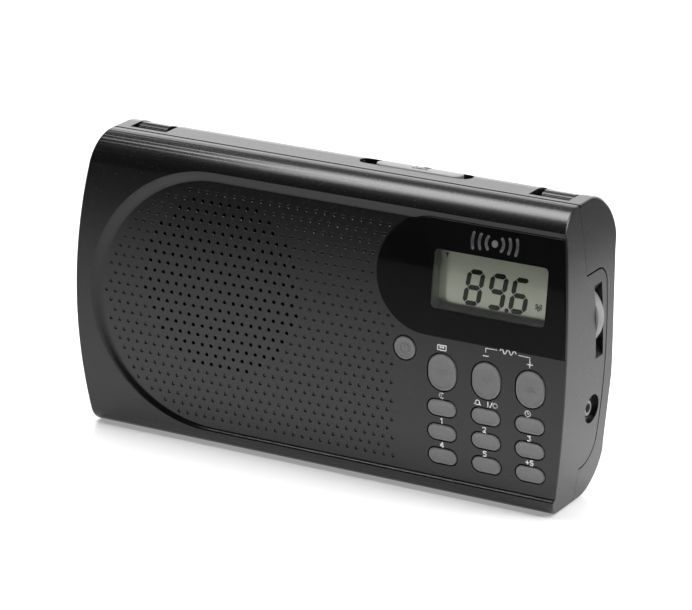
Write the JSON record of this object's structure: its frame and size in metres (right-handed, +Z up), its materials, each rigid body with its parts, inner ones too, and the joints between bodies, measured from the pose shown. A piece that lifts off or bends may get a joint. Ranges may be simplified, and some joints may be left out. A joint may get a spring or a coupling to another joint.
{
  "type": "clock radio",
  "caption": "Portable clock radio: barrel-ended case with drilled speaker grille, display window, key pad, thumbwheel, fold-back handle and telescopic aerial.",
  "frame": {"origin": "centre of the object's bounding box, on the surface it stands on", "axes": "+X along the case towards the volume wheel and headphone socket, -Y out of the front face, +Z up"},
  "size_m": [0.2026, 0.0455, 0.1103],
  "materials": {
    "case_plastic": "fine grain, satin black",
    "lens_gloss": "polished",
    "bezel_grey": "satin",
    "lcd": "grey-green reflective display",
    "clear_guide": "clear acrylic",
    "silicone": "layered elastomer strip",
    "felt": "foam ring",
    "steel": "plated",
    "paper": "pressed paper",
    "magnet": "ferrite and steel",
    "board": "solder mask",
    "black_parts": "moulded",
    "cap_sleeve": "shrink sleeve",
    "ferrite": "sintered",
    "copper": "enamelled wire",
    "ribbon_film": "film",
    "nickel": "bright plated",
    "cell_sleeve": "printed sleeve",
    "dark_steel": "black zinc",
    "foot_rubber": "matt",
    "key_plastic": "satin dark grey",
    "wheel_plastic": "satin grey"
  },
  "bodies": {
    "case": {"front_shell": "case_plastic", "rear_shell": "case_plastic", "display_lens": "lens_gloss", "lcd_bezel": "bezel_grey", "lcd_glass": "lcd", "lcd_light_guide": "clear_guide", "lcd_connector": "silicone", "speaker_gasket": "felt", "speaker_basket": "steel", "speaker_cone": "paper", "speaker_cap": "paper", "speaker_magnet": "magnet", "speaker_screws": "steel", "main_board": "board", "key_board": "board", "key_switches": "black_parts", "chips": "black_parts", "capacitors": "cap_sleeve", "coil_cans": "steel", "ferrite_rod": "ferrite", "ferrite_coil": "copper", "ribbon": "ribbon_film", "snooze_board": "board", "snooze_switch": "black_parts", "volume_pot": "steel", "headphone_socket": "black_parts", "socket_ring": "nickel", "dc_socket": "black_parts", "battery_cells": "cell_sleeve", "battery_contacts": "nickel", "battery_springs": "nickel", "case_screws": "dark_steel", "feet": "foot_rubber", "handle_pins": "steel"},
    "handle": {"handle": "case_plastic"},
    "aerial_base": {"aerial_base": "nickel"},
    "aerial_tube_1": {"aerial_tube_1": "nickel"},
    "aerial_tube_2": {"aerial_tube_2": "nickel"},
    "aerial_tube_3": {"aerial_tube_3": "nickel"},
    "aerial_tip": {"aerial_tip": "nickel"},
    "snooze_key": {"snooze_key": "key_plastic"},
    "volume_wheel": {"volume_wheel": "wheel_plastic"},
    "battery_door": {"battery_door": "case_plastic"},
    "key_power": {"key_power": "key_plastic"},
    "key_memory": {"key_memory": "key_plastic"},
    "key_tune_down": {"key_tune_down": "key_plastic"},
    "key_tune_up": {"key_tune_up": "key_plastic"},
    "key_sleep": {"key_sleep": "key_plastic"},
    "key_alarm": {"key_alarm": "key_plastic"},
    "key_time": {"key_time": "key_plastic"},
    "key_1": {"key_1": "key_plastic"},
    "key_2": {"key_2": "key_plastic"},
    "key_3": {"key_3": "key_plastic"},
    "key_4": {"key_4": "key_plastic"},
    "key_5": {"key_5": "key_plastic"},
    "key_plus_5": {"key_plus_5": "key_plastic"}
  },
  "joints": [
    {"name": "key_power_press", "type": "slide", "parent": "case", "child": "key_power", "axis": [0, 1, 0], "range_m": [0, 0.0006], "stiffness_N_per_m": 400, "springref_m": -0.0008},
    {"name": "key_memory_press", "type": "slide", "parent": "case", "child": "key_memory", "axis": [0, 1, 0], "range_m": [0, 0.0006], "stiffness_N_per_m": 400, "springref_m": -0.0008},
    {"name": "key_tune_down_press", "type": "slide", "parent": "case", "child": "key_tune_down", "axis": [0, 1, 0], "range_m": [0, 0.0006], "stiffness_N_per_m": 400, "springref_m": -0.0008},
    {"name": "key_tune_up_press", "type": "slide", "parent": "case", "child": "key_tune_up", "axis": [0, 1, 0], "range_m": [0, 0.0006], "stiffness_N_per_m": 400, "springref_m": -0.0008},
    {"name": "key_sleep_press", "type": "slide", "parent": "case", "child": "key_sleep", "axis": [0, 1, 0], "range_m": [0, 0.0006], "stiffness_N_per_m": 400, "springref_m": -0.0008},
    {"name": "key_alarm_press", "type": "slide", "parent": "case", "child": "key_alarm", "axis": [0, 1, 0], "range_m": [0, 0.0006], "stiffness_N_per_m": 400, "springref_m": -0.0008},
    {"name": "key_time_press", "type": "slide", "parent": "case", "child": "key_time", "axis": [0, 1, 0], "range_m": [0, 0.0006], "stiffness_N_per_m": 400, "springref_m": -0.0008},
    {"name": "key_1_press", "type": "slide", "parent": "case", "child": "key_1", "axis": [0, 1, 0], "range_m": [0, 0.0006], "stiffness_N_per_m": 400, "springref_m": -0.0008},
    {"name": "key_2_press", "type": "slide", "parent": "case", "child": "key_2", "axis": [0, 1, 0], "range_m": [0, 0.0006], "stiffness_N_per_m": 400, "springref_m": -0.0008},
    {"name": "key_3_press", "type": "slide", "parent": "case", "child": "key_3", "axis": [0, 1, 0], "range_m": [0, 0.0006], "stiffness_N_per_m": 400, "springref_m": -0.0008},
    {"name": "key_4_press", "type": "slide", "parent": "case", "child": "key_4", "axis": [0, 1, 0], "range_m": [0, 0.0006], "stiffness_N_per_m": 400, "springref_m": -0.0008},
    {"name": "key_5_press", "type": "slide", "parent": "case", "child": "key_5", "axis": [0, 1, 0], "range_m": [0, 0.0006], "stiffness_N_per_m": 400, "springref_m": -0.0008},
    {"name": "key_plus_5_press", "type": "slide", "parent": "case", "child": "key_plus_5", "axis": [0, 1, 0], "range_m": [0, 0.0006], "stiffness_N_per_m": 400, "springref_m": -0.0008},
    {"name": "snooze_press", "type": "slide", "parent": "case", "child": "snooze_key", "axis": [0, 0, -1], "range_m": [0, 0.0006], "stiffness_N_per_m": 400, "springref_m": -0.0008},
    {"name": "volume_turn", "type": "hinge", "parent": "case", "child": "volume_wheel", "pos_m": [0.0883, 0, 0.0675], "axis": [0, 1, 0], "range_deg": [0, 285]},
    {"name": "handle_fold", "type": "hinge", "parent": "case", "child": "handle", "pos_m": [-0.0004, 0.0074, 0.1057], "axis": [1, 0, 0], "range_deg": [0, 126]},
    {"name": "battery_door_lift", "type": "slide", "parent": "case", "child": "battery_door", "axis": [0, 1, 0], "range_m": [0, 0.03]},
    {"name": "aerial_turn", "type": "hinge", "parent": "case", "child": "aerial_base", "pos_m": [-0.0942, 0.0155, 0.027], "axis": [0, 0, 1], "range_deg": [0, 90]},
    {"name": "aerial_tilt", "type": "hinge", "parent": "aerial_base", "child": "aerial_tube_1", "pos_m": [-0.0942, 0.0155, 0.033], "axis": [-1, 0, 0], "range_deg": [0, 90]},
    {"name": "aerial_pull_1", "type": "slide", "parent": "aerial_tube_1", "child": "aerial_tube_2", "axis": [0, 0, 1], "range_m": [0, 0.049]},
    {"name": "aerial_pull_2", "type": "slide", "parent": "aerial_tube_2", "child": "aerial_tube_3", "axis": [0, 0, 1], "range_m": [0, 0.047]},
    {"name": "aerial_pull_3", "type": "slide", "parent": "aerial_tube_3", "child": "aerial_tip", "axis": [0, 0, 1], "range_m": [0, 0.045]}
  ]
}
